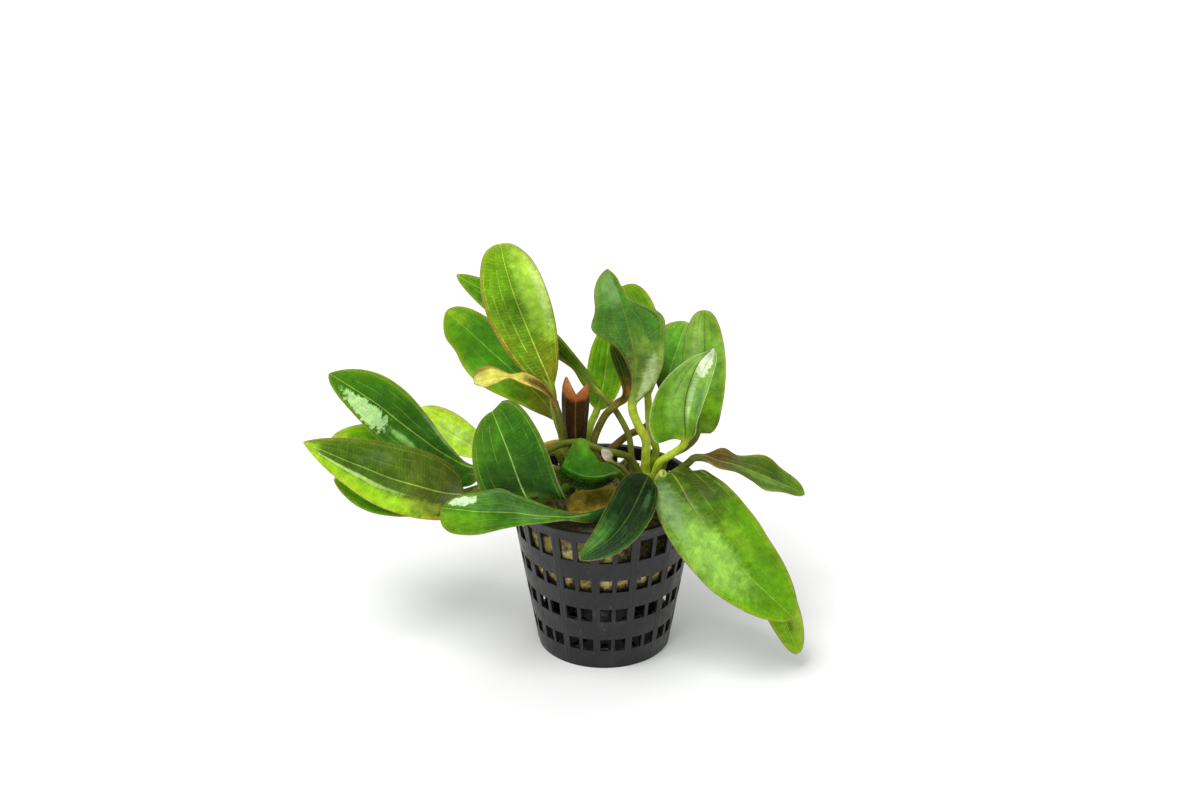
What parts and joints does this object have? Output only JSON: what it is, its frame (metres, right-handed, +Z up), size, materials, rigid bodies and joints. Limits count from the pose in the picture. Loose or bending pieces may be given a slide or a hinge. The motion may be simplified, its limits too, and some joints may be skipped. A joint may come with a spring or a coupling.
{
  "type": "potted echinodorus",
  "caption": "Aquarium sword plant with broad stalked leaves from short crowns, growing in a plug of rock wool in a tapered net pot with rows of square holes.",
  "frame": {"origin": "middle of the pot's flat underside, on the surface it stands on", "axes": "+Z up the pot's axis; -Y towards the front, where the leaves hang over the rim; +X to the right of the front"},
  "size_m": [0.144, 0.0705, 0.116],
  "materials": {
    "pot_plastic": "satin",
    "rock_wool": "matte",
    "crown": "satin",
    "green_leaf": "satin",
    "lime_leaf": "satin",
    "dark_green_leaf": "satin",
    "silver_green_leaf": "gloss",
    "olive_leaf": "satin",
    "red_brown_leaf": "satin",
    "yellow_brown_leaf": "satin"
  },
  "bodies": {
    "root": {"pot": "pot_plastic", "rock_wool": "rock_wool", "crown_left": "crown", "crown_right": "crown", "leaf_high_left": "lime_leaf", "leaf_high_behind": "green_leaf", "leaf_left_wavy": "green_leaf", "leaf_curled": "yellow_brown_leaf", "leaf_furled": "red_brown_leaf", "leaf_center_tall": "green_leaf", "leaf_center_back": "lime_leaf", "leaf_center_left": "lime_leaf", "leaf_center_brown": "olive_leaf", "leaf_right_back": "green_leaf", "leaf_right_tall": "green_leaf", "leaf_right_silver": "silver_green_leaf", "leaf_right_low": "olive_leaf", "leaf_front_right": "green_leaf", "leaf_front_right_under": "lime_leaf", "leaf_front_centre": "dark_green_leaf", "leaf_front_left_long": "green_leaf", "leaf_front_left_round": "dark_green_leaf", "leaf_left_big": "olive_leaf", "leaf_left_top": "green_leaf", "leaf_left_between": "lime_leaf", "leaf_left_low": "green_leaf", "leaf_left_inner": "lime_leaf", "leaf_folded": "dark_green_leaf", "leaf_dried": "yellow_brown_leaf", "leaf_dead_flat": "yellow_brown_leaf", "leaf_dead_scrap": "red_brown_leaf", "stalk_stub": "lime_leaf"}
  },
  "joints": []
}
